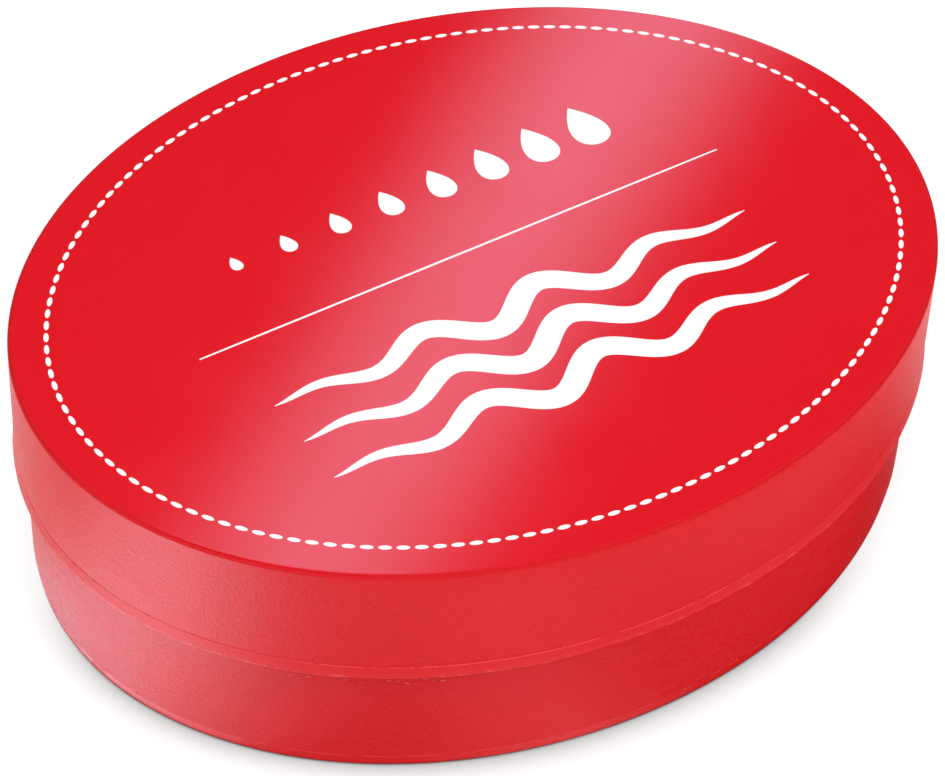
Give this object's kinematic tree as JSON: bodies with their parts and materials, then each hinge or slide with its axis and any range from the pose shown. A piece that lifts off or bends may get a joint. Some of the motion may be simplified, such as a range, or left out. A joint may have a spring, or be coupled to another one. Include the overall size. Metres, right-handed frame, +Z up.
{
  "type": "finger moistener",
  "caption": "Low oval desk dish of moistening gel for fingertips, with a slip-on lid that rests on the dish's lip and carries a printed label.",
  "frame": {"origin": "under the middle of the dish, on the surface that it stands on", "axes": "+X along the oval's long axis, +Y across it, +Z up out of the dish"},
  "size_m": [0.0642, 0.0512, 0.0184],
  "materials": {
    "red_plastic": "satin moulded, fine grain",
    "label_film": "glossy printed film",
    "gel": "wet, slightly translucent"
  },
  "bodies": {
    "dish": {"base_dish": "red_plastic", "moistener_gel": "gel"},
    "lid": {"lid_cap": "red_plastic", "lid_label": "label_film"}
  },
  "joints": [
    {"name": "lid_lift", "type": "slide", "parent": "dish", "child": "lid", "axis": [0, 0, 1], "range_m": [0, 0.03]}
  ]
}
